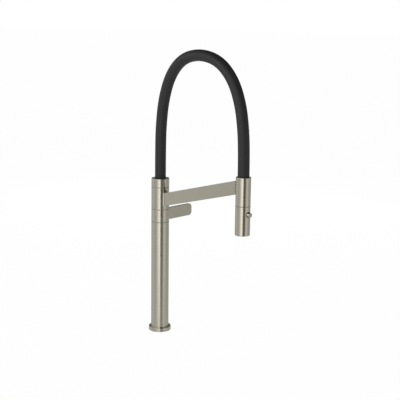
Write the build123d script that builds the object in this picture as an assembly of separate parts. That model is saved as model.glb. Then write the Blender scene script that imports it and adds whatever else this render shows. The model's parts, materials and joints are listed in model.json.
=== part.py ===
from build123d import *
import math
import os

# Pull-down kitchen faucet: a slim column with a ring lever, a swivelling bar arm that holds the
# spray wand against a magnet, and a rubber hose that arches from the column's top to the wand.
# Millimetres. Z is up, the origin is the centre of the base where it meets the deck, the arm
# points along -Y towards the user, and the lever points along +X, the user's right.

# ---- driving dimensions ----
COLUMN_R = 19.0
COLUMN_WALL = 2.0
FLANGE_R = 24.0
FLANGE_H = 8.5
LEVER_LOW_Z = 242.5
HUB_LOW_Z = 269.9
COLLAR_LOW_Z = 317.5
COLLAR_TOP_Z = 336.0
SEAM_GAP = 0.3
SEAM_BEVEL = 0.25

REACH = 235.0
ARM_SLOPE = 15.0
ARM_WIDTH = 14.0
ARM_AXIS_LOW_Z = 273.5
ARM_AXIS_TOP_Z = 301.5

WAND_R = 15.0
WAND_LOW_Z = 253.3
WAND_SEAM_Z = 312.0
WAND_TOP_Z = 368.8

PADDLE_END_X = 92.6
PADDLE_THICK = 5.0
PADDLE_CORNER_R = 8.0

BUTTON_R = 4.3
BUTTON_Z = 296.0
BUTTON_PROUD = 6.0
BUTTON_TRAVEL = 3.0

HOSE_R = 11.6
HOSE_BORE_R = 8.6
SOCKET_R = 11.9
SOCKET_DEPTH = 10.0

# The hose's route in the plane X = 0, as (y, z), from the collar over the arch into the wand.
HOSE_ROUTE = [
    (0, COLLAR_TOP_Z - SOCKET_DEPTH),
    (0, 384),
    (-1, 443),
    (-9, 503),
    (-29, 555),
    (-65, 590),
    (-115, 600),
    (-165, 589),
    (-202, 556),
    (-223, 510),
    (-232, 460),
    (-REACH, 409),
    (-REACH, WAND_TOP_Z - SOCKET_DEPTH),
]

# ---- fits ----
SLIP = 0.05
RUNNING = 0.08

# ---- water way and internals ----
BORE_R = COLUMN_R - COLUMN_WALL
RISER_X = 10.6
RISER_R = 4.0
RISER_BORE_R = 3.0
STUD_HOLE_R = 3.4
INLET_HOLE_R = 4.5
FOOT_TOP_Z = 26.0
VALVE_LOW_Z = 190.0
VALVE_TOP_Z = 240.0
CHAMBER_R = 11.0
CHAMBER_LOW_Z = 204.0
GALLERY_R = 13.8
GALLERY_ANGLES = (60, 75, 90, 105, 120)
BRIDGE_R = 16.2
BRIDGE_OPEN_R = 9.0
BRIDGE_SECTOR = (40, 215)
PLATE_TOP_Z = 275.0
POST_R = 12.0
POST_TOP_Z = 306.0
CORE_R = 13.1
SHELL_BORE_R = 13.2


def disc(radius, low, high, x=0.0, y=0.0):
    """A solid upright cylinder between two heights."""
    upright = (Align.CENTER, Align.CENTER, Align.MIN)
    return Pos(x, y, low) * Cylinder(radius, high - low, align=upright)


def ring(outer, inner, low, high, x=0.0, y=0.0):
    """An upright tube between two heights."""
    return disc(outer, low, high, x, y) - disc(inner, low, high, x, y)


def rod_y(radius, y_low, y_high, z, x=0.0):
    """A solid cylinder that lies along Y."""
    upright = (Align.CENTER, Align.CENTER, Align.MIN)
    return Pos(x, y_low, z) * Rot(-90, 0, 0) * Cylinder(radius, y_high - y_low, align=upright)


def block(x, y, z):
    """A box from its (low, high) pairs along X, Y and Z."""
    size = [pair[1] - pair[0] for pair in (x, y, z)]
    return Pos(x[0], y[0], z[0]) * Box(*size, align=(Align.MIN, Align.MIN, Align.MIN))


def turned(outline, y=0.0):
    """A solid of revolution about an upright axis, from its (radius, height) outline."""
    face = Plane.XZ * make_face(Polyline(*outline, close=True))
    return Pos(0, y, 0) * revolve(face, Axis.Z, 360)


def sector(solid, start, end, y=0.0):
    """The part of a round solid between two angles, in degrees from +X."""
    far = 60.0
    steps = 12
    turn = math.radians(end - start) / steps
    rim = [(0.0, 0.0)]
    for step in range(steps + 1):
        angle = math.radians(start) + step * turn
        rim.append((far * math.cos(angle), far * math.sin(angle)))
    wedge = extrude(make_face(Polyline(*rim, close=True)), amount=700)
    return solid & (Pos(0, y, 0) * wedge)


def o_ring(major, minor, z, y=0.0):
    """A rubber ring of round section about an upright axis."""
    return Pos(0, y, z) * Torus(major, minor)


def galleries(low, high):
    """The row of upright water holes beside the cartridge."""
    holes = []
    for angle in GALLERY_ANGLES:
        turn = math.radians(angle)
        holes.append(disc(1.5, low, high, GALLERY_R * math.cos(turn), GALLERY_R * math.sin(turn)))
    return holes


# ---- base and column ----
def base_flange():
    outline = [
        (BORE_R + SLIP, 0),
        (FLANGE_R, 0),
        (FLANGE_R, FLANGE_H - 0.6),
        (FLANGE_R - 0.6, FLANGE_H),
        (COLUMN_R + SLIP, FLANGE_H),
        (COLUMN_R + SLIP, 3.0),
        (BORE_R + SLIP, 3.0),
    ]
    return turned(outline) - ring(22.5, 19.5, 0, 1.6)


def base_seal():
    return ring(22.45, 19.55, 0, 1.6)


def foot_block():
    body = disc(BORE_R - SLIP, 0, FOOT_TOP_Z)
    body -= disc(STUD_HOLE_R, 0, 20.0)
    for side in (-1, 1):
        x = side * RISER_X
        body -= disc(INLET_HOLE_R, 0, 12.0, x)
        body -= disc(2.8, 12.0, 18.0, x)
        body -= disc(RISER_R + SLIP, 18.0, FOOT_TOP_Z, x)
    return body


def column_tube():
    top = LEVER_LOW_Z - SEAM_GAP / 2
    outline = [
        (BORE_R, 3.0),
        (COLUMN_R, 3.0),
        (COLUMN_R, top - SEAM_BEVEL),
        (COLUMN_R - SEAM_BEVEL, top),
        (BORE_R, top),
    ]
    return turned(outline)


def riser(side):
    return ring(RISER_R, RISER_BORE_R, 18.0, VALVE_LOW_Z + 6.0, side * RISER_X)


# ---- mixing valve ----
def valve_body():
    body = disc(BORE_R - SLIP, VALVE_LOW_Z, VALVE_TOP_Z)
    body -= disc(CHAMBER_R, CHAMBER_LOW_Z, VALVE_TOP_Z)
    for side in (-1, 1):
        body -= disc(RISER_R + SLIP, VALVE_LOW_Z, VALVE_LOW_Z + 6.0, side * RISER_X)
        body -= disc(1.9, VALVE_LOW_Z + 6.0, CHAMBER_LOW_Z, side * 8.6)
    for hole in galleries(214.0, VALVE_TOP_Z):
        body -= hole
    body -= block((-3.5, 3.5), (9.0, 14.5), (214.0, 219.0))
    for x, y in bridge_screw_places():
        body -= disc(1.3, 228.0, VALVE_TOP_Z, x, y)
    return body


def cartridge_shell():
    outline = [
        (0, CHAMBER_LOW_Z),
        (CHAMBER_R - SLIP, CHAMBER_LOW_Z),
        (CHAMBER_R - SLIP, 232.0),
        (6.0, 232.0),
        (6.0, 236.0),
        (0, 236.0),
    ]
    body = turned(outline) - disc(8.5, 208.0, 221.0)
    body -= disc(4.0 + SLIP, 221.0, 236.0)
    body -= ring(5.95, 4.0, 223.0, 225.0)
    body -= block((-3.5, 3.5), (8.0, 11.5), (214.0, 219.0))
    for side in (-1, 1):
        body -= disc(1.6, CHAMBER_LOW_Z, 208.0, side * 7.0)
    return body


def cartridge_fixed_disc():
    return disc(8.4, 208.0, 211.0) - disc(1.5, 208.0, 211.0, -6.2) - disc(1.5, 208.0, 211.0, 6.2)


def cartridge_moving_disc():
    plate = disc(8.1, 211.05, 214.0)
    pocket = sector(ring(7.4, 4.6, 211.05, 212.6), 25, 115)
    return plate - pocket


def cartridge_spindle():
    body = disc(7.5, 214.0, 217.0) + disc(4.0, 217.0, 246.0)
    body += block((-2.8, 2.8), (-2.8, 2.8), (246.0, 261.0))
    return body - disc(1.65, 250.0, 261.0)


def spindle_oring():
    return o_ring(5.0, 0.88, 224.0)


def cartridge_nut():
    body = ring(CHAMBER_R - SLIP, 6.2, 232.0, 238.5)
    for turn in (0, 90, 180, 270):
        body -= Rot(0, 0, turn) * block((8.5, 12.0), (-1.5, 1.5), (236.0, 238.5))
    return body


def bridge_screw_places():
    """The centres of the three screws that hold the bridge down, clear of its crescent."""
    places = []
    for angle in (240, 300, 0):
        turn = math.radians(angle)
        places.append((13.6 * math.cos(turn), 13.6 * math.sin(turn)))
    return places


def bridge_core():
    """The cast bridge past the lever: a foot, a crescent with the water holes, and a plate."""
    joint = LEVER_LOW_Z - SEAM_GAP / 2
    body = disc(BORE_R - SLIP, VALVE_TOP_Z, joint) + disc(BRIDGE_R, joint, 248.0)
    body -= disc(BRIDGE_OPEN_R, VALVE_TOP_Z, 248.0)
    body += sector(ring(BRIDGE_R, BRIDGE_OPEN_R, 248.0, 266.0), *BRIDGE_SECTOR)
    body += disc(BRIDGE_R, 266.0, 270.4) + disc(BORE_R - SLIP, 270.4, PLATE_TOP_Z)
    body -= disc(9.0 + SLIP, 271.0, PLATE_TOP_Z)
    body -= disc(5.5, 269.0, 271.0)
    body -= block((-3.5, 3.5), (3.0, 14.5), (269.0, 271.0))
    for hole in galleries(VALVE_TOP_Z, 271.0):
        body -= hole
    for x, y in bridge_screw_places():
        body -= disc(1.6, VALVE_TOP_Z, 248.0, x, y)
        body -= disc(2.55, 245.5, 248.0, x, y)
    return body


def bridge_screws():
    screws = []
    for x, y in bridge_screw_places():
        screw = disc(2.5, 245.5, 248.0, x, y) + disc(1.25, 230.0, 245.5, x, y)
        screws.append(screw - disc(1.2, 246.5, 248.0, x, y))
    return screws


# ---- lever ----
def lever_glides():
    low = ring(BORE_R - RUNNING, BRIDGE_R + SLIP, 243.0, 246.0)
    high = ring(BORE_R - RUNNING, BRIDGE_R + SLIP, 266.4, 269.4)
    return [low, high]


def lever_heights():
    """The heights of the lever ring's two faces, and so of the paddle's edges."""
    return LEVER_LOW_Z + SEAM_GAP / 2, HUB_LOW_Z - SEAM_GAP / 2


def lever_ring():
    low, high = lever_heights()
    outline = [
        (BORE_R, low),
        (COLUMN_R - SEAM_BEVEL, low),
        (COLUMN_R, low + SEAM_BEVEL),
        (COLUMN_R, high - SEAM_BEVEL),
        (COLUMN_R - SEAM_BEVEL, high),
        (BORE_R, high),
    ]
    slot = block((15.0, 20.0), (-2.05, 2.05), (249.95, 262.05))
    return turned(outline) - slot


def lever_paddle():
    """The flat paddle: a plate with two rounded outer corners and a tenon at its root."""
    low, high = lever_heights()
    plate = block(
        (COLUMN_R - 4.0, PADDLE_END_X), (-PADDLE_THICK / 2, PADDLE_THICK / 2), (low, high)
    )
    corners = plate.edges().filter_by(Axis.Y).sort_by(Axis.X)[-2:]
    plate = fillet(corners, PADDLE_CORNER_R)
    rims = plate.faces().filter_by(Axis.Y).edges()
    plate = fillet(rims, 0.6)
    plate -= disc(COLUMN_R + 0.02, low - 1, high + 1)
    tenon = block((10.0, 22.0), (-2.0, 2.0), (250.0, 262.0))
    return plate + tenon - disc(1.03, 249.0, 263.0, 13.4)


def lever_web():
    """The driver on the spindle's square, with a socket for the paddle's tenon."""
    body = disc(7.3, 249.0, 263.0)
    body += block((0.0, 20.0), (-4.5, 4.5), (249.0, 263.0)) & disc(BORE_R - SLIP, 249.0, 263.0)
    body -= block((-2.85, 2.85), (-2.85, 2.85), (249.0, 261.5))
    body -= disc(1.65, 261.5, 263.0)
    body -= block((9.9, 20.0), (-2.05, 2.05), (249.95, 262.05))
    return body - disc(1.03, 249.0, 263.0, 13.4)


def tenon_pin():
    return disc(1.0, 249.0, 263.0, 13.4)


def spindle_screw():
    screw = disc(3.4, 263.0, 265.2) + disc(1.6, 251.0, 263.0)
    hexagon = extrude(Pos(0, 0, 263.8) * RegularPolygon(1.5, 6), amount=1.4)
    return screw - hexagon


# ---- swivel ----
def swivel_post():
    body = disc(9.0, 271.0, PLATE_TOP_Z) + disc(POST_R, PLATE_TOP_Z, POST_TOP_Z)
    body -= disc(5.5, 271.0, POST_TOP_Z)
    for z in (288.2, 293.2):
        body -= ring(POST_R + 1, 10.85, z - 1.2, z + 1.2)
    return body - ring(POST_R + 1, 10.9, 304.2, 305.4)


def post_orings():
    return [o_ring(11.9, 1.0, 288.2), o_ring(11.9, 1.0, 293.2)]


def thrust_washer():
    return ring(16.8, POST_R + 0.2, PLATE_TOP_Z, PLATE_TOP_Z + 1.0)


def post_circlip():
    return ring(13.4, 10.95, 304.25, 305.35) - block((9.0, 15.0), (-2.5, 2.5), (304.0, 306.0))


def arm_hub():
    low = HUB_LOW_Z + SEAM_GAP / 2
    high = COLLAR_LOW_Z - SEAM_GAP / 2
    outline = [
        (17.3, low),
        (COLUMN_R - SEAM_BEVEL, low),
        (COLUMN_R, low + SEAM_BEVEL),
        (COLUMN_R, high - SEAM_BEVEL),
        (COLUMN_R - SEAM_BEVEL, high),
        (15.0, high),
        (15.0, 306.5),
        (14.3, 306.5),
        (14.3, 297.0),
        (13.0, 297.0),
        (13.0, 285.0),
        (14.0, 285.0),
        (14.0, 276.0),
        (17.3, 276.0),
    ]
    body = turned(outline)
    for z in (286.0, 299.0):
        body -= rod_y(2.02, -COLUMN_R - 1, -15.5, z)
    return body


def swivel_bushes():
    low = ring(13.95, POST_R + SLIP, 276.3, 284.8)
    high = ring(14.25, POST_R + SLIP, 297.2, 304.0)
    return [low, high]


# ---- arm ----
def arm_rise(y):
    """How far the arm has climbed at a distance in front of the column's axis."""
    return -y * math.tan(math.radians(ARM_SLOPE))


def arm_prism(half_width, inset, y_near, y_far):
    """The sloping bar as a prism with upright ends."""
    low = ARM_AXIS_LOW_Z + inset
    high = ARM_AXIS_TOP_Z - inset
    outline = [
        (y_near, low + arm_rise(y_near)),
        (y_near, high + arm_rise(y_near)),
        (y_far, high + arm_rise(y_far)),
        (y_far, low + arm_rise(y_far)),
    ]
    face = Plane.YZ * make_face(Polyline(*outline, close=True))
    return extrude(face, amount=half_width, both=True)


def arm_bar():
    near = -18.2
    bar = arm_prism(ARM_WIDTH / 2, 0.0, near, -REACH + 8.0)
    near_edges = bar.edges().filter_by(Axis.Z).sort_by(Axis.Y)[-2:]
    bar = fillet(near_edges, 2.0)
    long_edges = [edge for edge in bar.edges() if edge.length > 150]
    bar = fillet(long_edges, 0.8)
    bar -= disc(COLUMN_R + 0.02, HUB_LOW_Z, COLLAR_TOP_Z)
    bar -= disc(WAND_R + 1.3, WAND_LOW_Z, 400, 0, -REACH)
    for z in (286.0, 299.0):
        bar -= rod_y(2.02, -27.5, -15.0, z)
    return bar - rod_y(5.05, -REACH + 8.0, -212.3, magnet_height())


def arm_dowels():
    return [rod_y(2.0, -27.0, -15.6, 286.0), rod_y(2.0, -27.0, -15.6, 299.0)]


def magnet_height():
    """The height of the bar's middle where the magnet sits."""
    return (ARM_AXIS_LOW_Z + ARM_AXIS_TOP_Z) / 2 + arm_rise(-216.0)


def dock_magnet():
    return rod_y(5.0, -218.3, -212.4, magnet_height())


def dock_pad():
    """The thin black liner in the arm's hollow end, which the wand rests against."""
    liner = ring(WAND_R + 1.25, WAND_R + 0.3, WAND_LOW_Z, 400, 0, -REACH)
    return liner & arm_prism(ARM_WIDTH / 2 - 0.4, 0.4, -200.0, -REACH)


# ---- hose and its ends in the column ----
def top_collar():
    low = COLLAR_LOW_Z + SEAM_GAP / 2
    seat = COLLAR_TOP_Z - SOCKET_DEPTH
    outline = [
        (9.4, 312.0),
        (14.9, 312.0),
        (14.9, low),
        (COLUMN_R - SEAM_BEVEL, low),
        (COLUMN_R, low + SEAM_BEVEL),
        (COLUMN_R, COLLAR_TOP_Z - 0.6),
        (COLUMN_R - 0.6, COLLAR_TOP_Z),
        (SOCKET_R + 0.6, COLLAR_TOP_Z),
        (SOCKET_R, COLLAR_TOP_Z - 0.6),
        (SOCKET_R, seat),
        (9.4, seat),
    ]
    return turned(outline)


def hose_adapter():
    body = disc(14.95, 306.5, 312.0) + disc(4.15, 312.0, 340.0)
    body -= disc(2.8, 306.5, 340.0)
    return body - ring(16.0, 12.95, 308.0, 310.4)


def adapter_oring():
    return o_ring(13.93, 0.96, 309.2)


def crimp_ferrule(low, y=0.0):
    """A brass sleeve crimped round the inner hose."""
    return ring(8.2, 6.55, low, low + 14.0, 0, y)


def hose_route(start_z, end_z):
    """The hose's route as points in space, with its two ends at the given heights."""
    places = [(0, start_z), *HOSE_ROUTE[1:-1], (-REACH, end_z)]
    return [Vector(0, y, z) for y, z in places]


def hose_radii(points):
    """The radius of the arc at each corner, as large as the two runs beside it allow."""
    radii = []
    for before, corner, after in zip(points, points[1:], points[2:]):
        first = corner - before
        second = after - corner
        half_turn = math.radians(first.get_angle(second)) / 2
        radii.append(0.45 * min(first.length, second.length) / math.tan(half_turn))
    return radii


def hose_tube(name, outer, inner, start_z, end_z):
    """A tube along the hose's route, of straight runs joined by tangent arcs."""
    points = hose_route(start_z, end_z)
    radii = hose_radii(points)
    path = FilletPolyline(*points, radius=radii)
    section = Plane(origin=points[0], z_dir=(0, 0, 1)) * (Circle(outer) - Circle(inner))
    tube = sweep(section, path=path)
    expected = math.pi * (outer**2 - inner**2) * path.length
    print(name, "length", round(path.length, 1), "radii", [round(radius) for radius in radii])
    print(name, "volume", round(tube.volume), "of", round(expected))
    return tube


# ---- spray wand ----
def wand_sleeve():
    seat = WAND_TOP_Z - SOCKET_DEPTH
    low = WAND_SEAM_Z + SEAM_GAP / 2
    outline = [
        (SHELL_BORE_R, low),
        (WAND_R - SEAM_BEVEL, low),
        (WAND_R, low + SEAM_BEVEL),
        (WAND_R, WAND_TOP_Z - 0.5),
        (WAND_R - 0.5, WAND_TOP_Z),
        (SOCKET_R + 0.5, WAND_TOP_Z),
        (SOCKET_R, WAND_TOP_Z - 0.5),
        (SOCKET_R, seat),
        (9.2, seat),
        (9.2, seat - 3.3),
        (SHELL_BORE_R, seat - 3.3),
    ]
    return turned(outline, -REACH)


def spray_head():
    high = WAND_SEAM_Z - SEAM_GAP / 2
    outline = [
        (12.4, WAND_LOW_Z),
        (WAND_R - 0.8, WAND_LOW_Z),
        (WAND_R, WAND_LOW_Z + 0.8),
        (WAND_R, high - SEAM_BEVEL),
        (WAND_R - SEAM_BEVEL, high),
        (SHELL_BORE_R, high),
        (SHELL_BORE_R, WAND_LOW_Z + 1.8),
        (12.4, WAND_LOW_Z + 1.8),
    ]
    return turned(outline, -REACH) - rod_y(5.65, -REACH - 16.0, -REACH - 10.0, BUTTON_Z)


def keeper(outer, inner, low, high, spread):
    """A curved steel strip on the side of the wand that faces the arm, or its pocket."""
    return sector(ring(outer, inner, low, high, 0, -REACH), 90 - spread, 90 + spread, -REACH)


def wand_core():
    """The moulded waterway: hose socket, check valve bore, diverter bore and two outlets."""
    body = disc(CORE_R, 260.0, 355.3, 0, -REACH)
    body -= disc(8.6, 346.0, 356.0, 0, -REACH)
    body -= disc(4.25, 336.0, 346.0, 0, -REACH)
    body -= disc(5.6, 320.0, 336.0, 0, -REACH)
    body -= disc(3.0, BUTTON_Z, 320.0, 0, -REACH)
    body -= rod_y(4.0, -REACH - 3.0, -REACH + 9.5, BUTTON_Z)
    body -= rod_y(5.65, -REACH - 15.0, -REACH - 1.5, BUTTON_Z)
    body -= disc(2.0, 266.0, BUTTON_Z, 0, -REACH + 3.0)
    body -= disc(1.5, 264.0, BUTTON_Z, 0, -REACH - 10.2)
    body -= disc(7.05, 260.0, 268.0, 0, -REACH)
    body -= ring(12.0, 8.4, 260.0, 266.0, 0, -REACH)
    body -= ring(CORE_R + 1, 11.6, 305.0, 307.0, 0, -REACH)
    return body - keeper(CORE_R + 1, 11.4, 337.9, 354.1, 31)


def keeper_plate():
    return keeper(13.0, 11.5, 338.0, 354.0, 30)


def head_oring():
    return o_ring(12.38, 0.76, 306.0, -REACH)


def hose_nipple():
    outline = [
        (2.3, 337.0),
        (4.2, 337.0),
        (4.2, 349.0),
        (5.7, 349.0),
        (5.7, 351.0),
        (4.15, 351.0),
        (4.15, 373.0),
        (2.3, 373.0),
    ]
    return turned(outline, -REACH) - ring(6.0, 3.1, 340.3, 341.7, 0, -REACH)


def nipple_oring():
    return o_ring(3.66, 0.54, 341.0, -REACH)


def swivel_nut():
    body = ring(8.55, 5.9, 346.0, 351.1, 0, -REACH)
    return body + ring(8.55, 4.5, 351.1, 354.0, 0, -REACH)


def check_valve():
    shell = ring(5.5, 3.6, 321.0, 335.5, 0, -REACH) + ring(3.7, 1.0, 324.0, 325.5, 0, -REACH)
    poppet = disc(3.0, 328.0, 330.0, 0, -REACH) + disc(0.9, 322.0, 328.0, 0, -REACH)
    return [shell, poppet]


def spray_plate():
    body = disc(CORE_R, WAND_LOW_Z + 1.8, 260.0, 0, -REACH)
    body -= disc(7.05, WAND_LOW_Z, 260.0, 0, -REACH)
    for x, y in nozzle_places():
        body -= disc(1.05, WAND_LOW_Z, 260.0, x, y)
    return body


def nozzle_places():
    """The centres of the ring of spray nozzles."""
    count = 12
    places = []
    for number in range(count):
        turn = 2 * math.pi * number / count
        places.append((10.0 * math.cos(turn), -REACH + 10.0 * math.sin(turn)))
    return places


def spray_nozzles():
    return [ring(1.0, 0.5, WAND_LOW_Z + 1.2, 259.9, x, y) for x, y in nozzle_places()]


def aerator_housing():
    return ring(7.0, 5.8, WAND_LOW_Z + 1.0, 264.0, 0, -REACH)


def aerator_screen():
    body = disc(5.75, 256.0, 257.2, 0, -REACH)
    spacing = 2.2
    for row in range(-2, 3):
        for column in range(-2, 3):
            x = (column + row / 2) * spacing
            y = row * spacing * math.sqrt(3) / 2
            if math.hypot(x, y) < 5.0:
                body -= disc(0.75, 256.0, 257.2, x, y - REACH)
    return body


# ---- diverter button ----
def button_guide():
    bush = rod_y(5.6, -REACH - 15.0, -REACH - 9.0, BUTTON_Z)
    bush -= rod_y(BUTTON_R + RUNNING, -REACH - 15.0, -REACH - 9.0, BUTTON_Z)
    return bush & disc(WAND_R - 0.4, 280.0, 310.0, 0, -REACH)


def diverter_button():
    front = -REACH - WAND_R - BUTTON_PROUD
    stem = rod_y(BUTTON_R, front, -REACH - 7.4, BUTTON_Z)
    rim = stem.edges().filter_by(GeomType.CIRCLE).sort_by(Axis.Y)[0]
    return fillet(rim, 0.7) + rod_y(5.2, -REACH - 8.9, -REACH - 7.4, BUTTON_Z)


def diverter_spool():
    body = rod_y(1.6, -REACH - 7.4, -REACH + 5.0, BUTTON_Z)
    body += rod_y(3.95, -REACH - 1.2, -REACH + 0.8, BUTTON_Z)
    return body + rod_y(3.95, -REACH + 3.0, -REACH + 5.0, BUTTON_Z)


def button_spring():
    """The coil spring between the button's flange and the core."""
    length = 5.0
    coil_r = 4.8
    wire_r = 0.4
    coil = Helix(pitch=length / 4, height=length, radius=coil_r)
    wire = sweep(Plane(origin=coil @ 0, z_dir=coil % 0) * Circle(wire_r), path=coil, is_frenet=True)
    return Pos(0, -REACH - 6.95, BUTTON_Z) * Rot(-90, 0, 0) * wire


def nodes():
    """Every node of the faucet, by name."""
    seat = COLLAR_TOP_Z - SOCKET_DEPTH
    wand_seat = WAND_TOP_Z - SOCKET_DEPTH
    return {
        "base_flange": base_flange(),
        "base_seal": base_seal(),
        "foot_block": foot_block(),
        "column_tube": column_tube(),
        "hot_riser": riser(-1),
        "cold_riser": riser(1),
        "valve_body": valve_body(),
        "cartridge_shell": cartridge_shell(),
        "cartridge_fixed_disc": cartridge_fixed_disc(),
        "cartridge_moving_disc": cartridge_moving_disc(),
        "cartridge_spindle": cartridge_spindle(),
        "spindle_oring": spindle_oring(),
        "cartridge_nut": cartridge_nut(),
        "bridge_core": bridge_core(),
        "bridge_screws": bridge_screws(),
        "lever_glides": lever_glides(),
        "lever_ring": lever_ring(),
        "lever_paddle": lever_paddle(),
        "lever_web": lever_web(),
        "tenon_pin": tenon_pin(),
        "spindle_screw": spindle_screw(),
        "swivel_post": swivel_post(),
        "post_orings": post_orings(),
        "thrust_washer": thrust_washer(),
        "post_circlip": post_circlip(),
        "arm_hub": arm_hub(),
        "swivel_bushes": swivel_bushes(),
        "arm_bar": arm_bar(),
        "arm_dowels": arm_dowels(),
        "dock_magnet": dock_magnet(),
        "dock_pad": dock_pad(),
        "top_collar": top_collar(),
        "hose_adapter": hose_adapter(),
        "adapter_oring": adapter_oring(),
        "adapter_ferrule": crimp_ferrule(seat + 1.0),
        "hose_sleeve": hose_tube("hose_sleeve", HOSE_R, HOSE_BORE_R, seat, wand_seat),
        "hose_spring": hose_tube("hose_spring", 8.3, 6.9, seat + 16.0, wand_seat + 16.5),
        "inner_hose": hose_tube("inner_hose", 6.5, 4.2, seat, wand_seat),
        "hose_nipple": hose_nipple(),
        "nipple_ferrule": crimp_ferrule(wand_seat + 1.0, -REACH),
        "nipple_oring": nipple_oring(),
        "wand_sleeve": wand_sleeve(),
        "swivel_nut": swivel_nut(),
        "wand_core": wand_core(),
        "check_valve": check_valve(),
        "keeper_plate": keeper_plate(),
        "head_oring": head_oring(),
        "spray_head": spray_head(),
        "spray_plate": spray_plate(),
        "spray_nozzles": spray_nozzles(),
        "aerator_housing": aerator_housing(),
        "aerator_screen": aerator_screen(),
        "button_guide": button_guide(),
        "button_spring": button_spring(),
        "diverter_button": diverter_button(),
        "diverter_spool": diverter_spool(),
    }


def main():
    os.makedirs("parts", exist_ok=True)
    for name, made in nodes().items():
        solids = made if isinstance(made, list) else [made]
        pieces = [solid for piece in solids for solid in piece.solids()]
        shape = pieces[0] if len(pieces) == 1 else Compound(children=pieces)
        shape.label = name
        export_step(shape, f"parts/{name}.step")


main()
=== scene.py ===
"""Looks for a pull-down kitchen faucet: a slim brushed nickel column with a ring lever, a bar arm that
holds the spray wand, and a black rubber hose that arches over from the column to the wand.

Everything is in metres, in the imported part's own frame: Z up, the arm along -Y, the lever along +X.
Sizes that follow the drawing are written in millimetres and multiplied by MM.
"""

import json
import logging
import math
from dataclasses import dataclass
from enum import Enum

import bpy
import numpy as np
from mathutils import Matrix, Vector


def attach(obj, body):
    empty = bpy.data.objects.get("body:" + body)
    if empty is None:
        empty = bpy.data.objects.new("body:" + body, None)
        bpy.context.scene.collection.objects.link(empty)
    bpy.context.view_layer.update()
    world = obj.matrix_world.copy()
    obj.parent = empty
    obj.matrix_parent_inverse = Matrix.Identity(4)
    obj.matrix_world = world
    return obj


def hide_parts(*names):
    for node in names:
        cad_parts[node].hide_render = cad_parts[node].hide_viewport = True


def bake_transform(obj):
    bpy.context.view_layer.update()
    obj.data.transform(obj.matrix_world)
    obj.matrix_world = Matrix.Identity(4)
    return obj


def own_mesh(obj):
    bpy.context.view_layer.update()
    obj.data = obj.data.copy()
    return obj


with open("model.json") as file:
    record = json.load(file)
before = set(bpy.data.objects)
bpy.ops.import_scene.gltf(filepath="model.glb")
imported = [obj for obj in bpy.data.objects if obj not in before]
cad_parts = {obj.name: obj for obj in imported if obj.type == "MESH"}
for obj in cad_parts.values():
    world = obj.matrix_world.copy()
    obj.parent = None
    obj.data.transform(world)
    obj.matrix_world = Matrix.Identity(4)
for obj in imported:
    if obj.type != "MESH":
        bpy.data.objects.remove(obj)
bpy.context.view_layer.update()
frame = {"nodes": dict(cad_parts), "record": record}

log = logging.getLogger("faucet")
MM = 0.001


class Body(Enum):
    """The moving bodies that pieces ride on."""

    ROOT = "root"
    LEVER = "lever"
    ARM = "arm"
    HOSE_END = "hose_end"
    WAND = "wand"
    BUTTON = "button"


class Grain(Enum):
    """Which way a brushed face was worked: round a turned part, or along a flat one."""

    ROUND_UPRIGHT = "round an upright axis"
    ROUND_FORWARD = "round an axis that points forward"
    ALONG_ARM = "along the sloping arm"
    ALONG_PADDLE = "along the paddle"


ARM_SLOPE = math.radians(15.0)
REACH = 235.0
SEAM_EASE = 0.5
INNER_EASE = 0.1
GUARD_SHARE = 0.35
NICKEL = "brushed_nickel"
TEXTURE_LOW, TEXTURE_HIGH = 0.3, 0.7
Triple = tuple[float, float, float]


# ---------------------------------------------------------------------------------------------
# Surfaces: grids of points worked out as whole arrays
# ---------------------------------------------------------------------------------------------


@dataclass(frozen=True)
class Corner:
    """One corner of an outline, in millimetres: across, up, and how far its edge is eased."""

    across: float
    up: float
    ease: float = 0.0


@dataclass(frozen=True)
class Skin:
    """A mesh as arrays: its points in metres, its four-sided faces and its many-sided caps."""

    points: np.ndarray
    quads: np.ndarray
    caps: tuple[tuple[int, ...], ...] = ()


def eased_outline(corners: tuple[Corner, ...], closed: bool, steps: int = 5) -> np.ndarray:
    """An outline whose corners are rounded off.

    Each eased corner P is a quadratic curve (1-t)^2 A + 2t(1-t) P + t^2 B between the points A and B
    that lie the ease's length before and after it, with one more point just outside each of them that
    keeps the flats beside it flat when the mesh is shaded.

    Args:
        corners: The outline's corners in order.
        closed: Whether the last corner joins the first.
        steps: How many chords each rounding has.

    Returns:
        The outline's points, as rows of (across, up) in millimetres.
    """
    places = np.array([(corner.across, corner.up) for corner in corners])
    count = len(places)
    share = np.linspace(0.0, 1.0, steps + 1)[:, None]
    rows = []
    for index, corner in enumerate(corners):
        here = places[index]
        inner = closed or 0 < index < count - 1
        if corner.ease <= 0.0 or not inner:
            rows.append(here[None, :])
            continue
        back = places[index - 1] - here
        ahead = places[(index + 1) % count] - here
        back /= np.linalg.norm(back)
        ahead /= np.linalg.norm(ahead)
        start = here + back * corner.ease
        stop = here + ahead * corner.ease
        curve = (1 - share) ** 2 * start + 2 * share * (1 - share) * here + share**2 * stop
        guard = GUARD_SHARE * corner.ease
        rows.append(np.vstack([start + back * guard, curve, stop + ahead * guard]))
    return np.vstack(rows)


def grid_quads(rows: int, columns: int, loop: bool) -> np.ndarray:
    """The faces of a grid whose columns go round, and whose rows go round too if loop is true.

    Args:
        rows: How many rows of points the grid has.
        columns: How many points each row has.
        loop: Whether the last row joins the first.

    Returns:
        One row of four point numbers for each face.
    """
    last = rows if loop else rows - 1
    row, column = np.meshgrid(np.arange(last), np.arange(columns), indexing="ij")
    beyond = (row + 1) % rows
    beside = (column + 1) % columns
    faces = [
        row * columns + column,
        row * columns + beside,
        beyond * columns + beside,
        beyond * columns + column,
    ]
    return np.stack(faces, axis=-1).reshape(-1, 4)


def end_caps(rows: int, columns: int) -> tuple[tuple[int, ...], ...]:
    """The two many-sided faces that close a grid's first and last rows."""
    final = (rows - 1) * columns
    return (tuple(range(columns))[::-1], tuple(range(final, final + columns)))


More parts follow.
